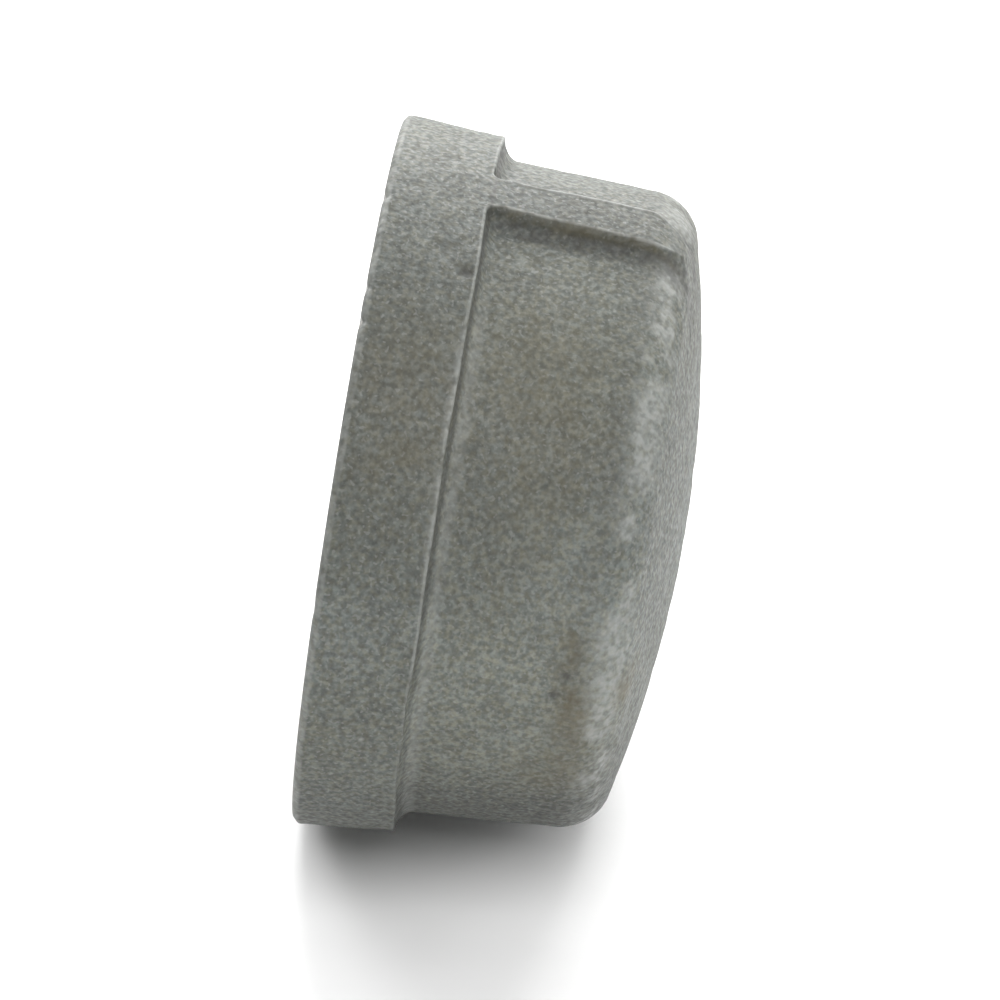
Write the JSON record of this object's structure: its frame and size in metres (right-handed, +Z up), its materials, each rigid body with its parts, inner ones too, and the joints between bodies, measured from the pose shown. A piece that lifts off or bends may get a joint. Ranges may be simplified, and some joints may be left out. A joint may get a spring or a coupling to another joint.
{
  "type": "threaded pipe cap",
  "caption": "Banded round pipe cap with a domed end, two grip ribs and an internal taper pipe thread that closes the end of a pipe.",
  "frame": {"origin": "centre of the mouth face, on the axis of the thread", "axes": "-X out of the mouth, +X towards the domed end, +Z up as the cap lies on its side on one grip rib, with the other rib on top"},
  "size_m": [0.0433, 0.091, 0.091],
  "materials": {
    "casting": "matt as-cast grey iron, dry, with a sandy grain"
  },
  "bodies": {
    "root": {"cap_casting": "casting"}
  },
  "joints": []
}
